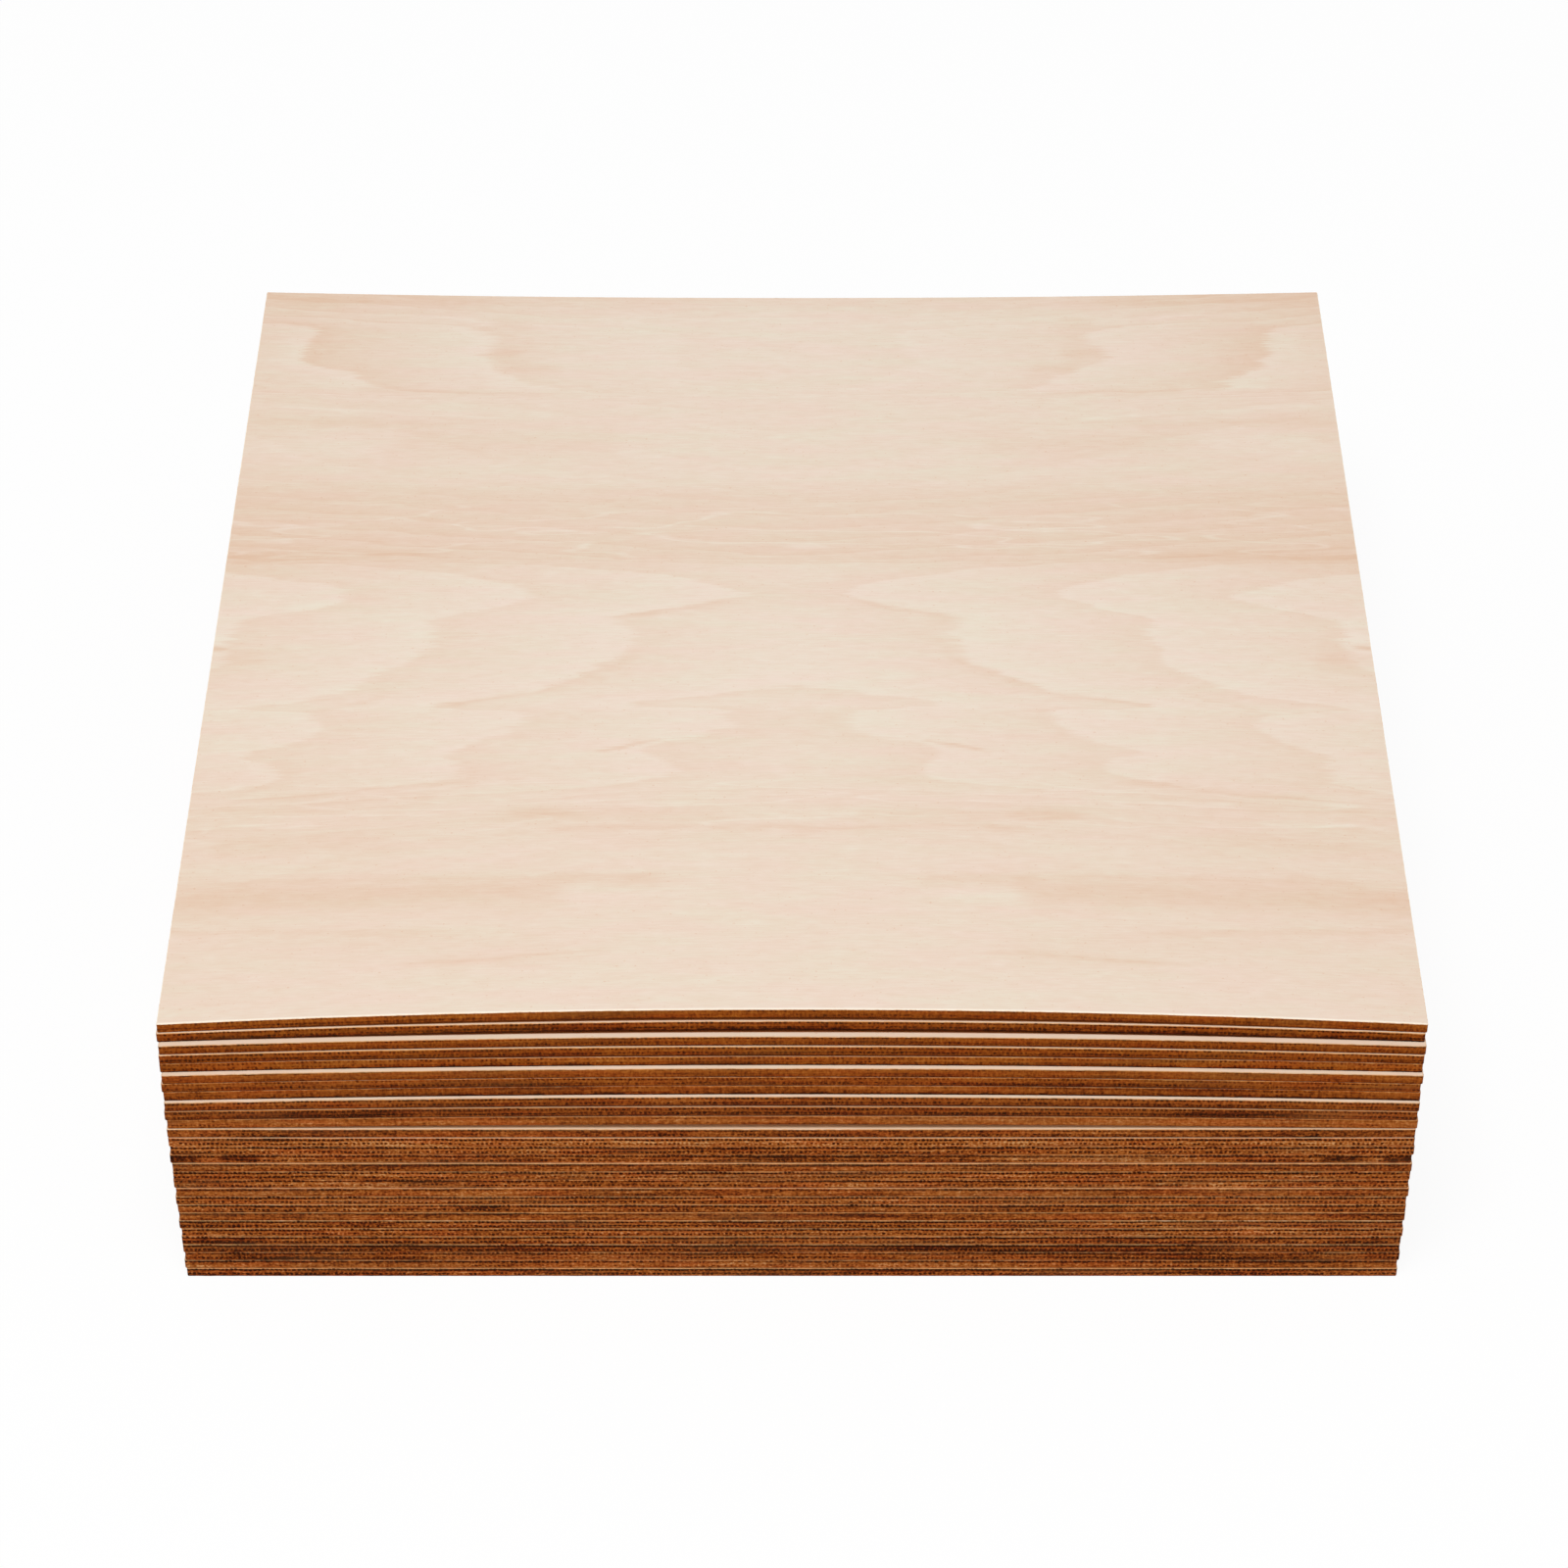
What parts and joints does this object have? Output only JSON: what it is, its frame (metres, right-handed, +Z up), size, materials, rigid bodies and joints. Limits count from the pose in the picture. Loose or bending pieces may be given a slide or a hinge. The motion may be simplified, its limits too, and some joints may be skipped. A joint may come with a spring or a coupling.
{
  "type": "stack of plywood sheets",
  "caption": "Stack of thin square laser-cut plywood sheets resting on each other, lower ones flat and upper ones slightly warped; raw stock for craft and model making.",
  "frame": {"origin": "on the floor, under the middle of the stack's box", "axes": "+Z up through the stack, +X to the right along the front edges, +Y from the front edges to the back; the face edges seen first face -Y"},
  "size_m": [0.3018, 0.3094, 0.0834],
  "materials": {
    "basswood_plywood": "sanded pale veneer faces, edges browned by the laser that cut them"
  },
  "bodies": {
    "root": {"sheet_01": "basswood_plywood", "sheet_02": "basswood_plywood", "sheet_03": "basswood_plywood", "sheet_04": "basswood_plywood", "sheet_05": "basswood_plywood", "sheet_06": "basswood_plywood", "sheet_07": "basswood_plywood", "sheet_08": "basswood_plywood", "sheet_09": "basswood_plywood", "sheet_10": "basswood_plywood", "sheet_11": "basswood_plywood", "sheet_12": "basswood_plywood", "sheet_13": "basswood_plywood", "sheet_14": "basswood_plywood", "sheet_15": "basswood_plywood", "sheet_16": "basswood_plywood", "sheet_17": "basswood_plywood", "sheet_18": "basswood_plywood", "sheet_19": "basswood_plywood", "sheet_20": "basswood_plywood", "sheet_21": "basswood_plywood", "sheet_22": "basswood_plywood", "sheet_23": "basswood_plywood", "sheet_24": "basswood_plywood", "sheet_25": "basswood_plywood", "sheet_26": "basswood_plywood", "sheet_27": "basswood_plywood", "sheet_28": "basswood_plywood", "sheet_29": "basswood_plywood"}
  },
  "joints": []
}
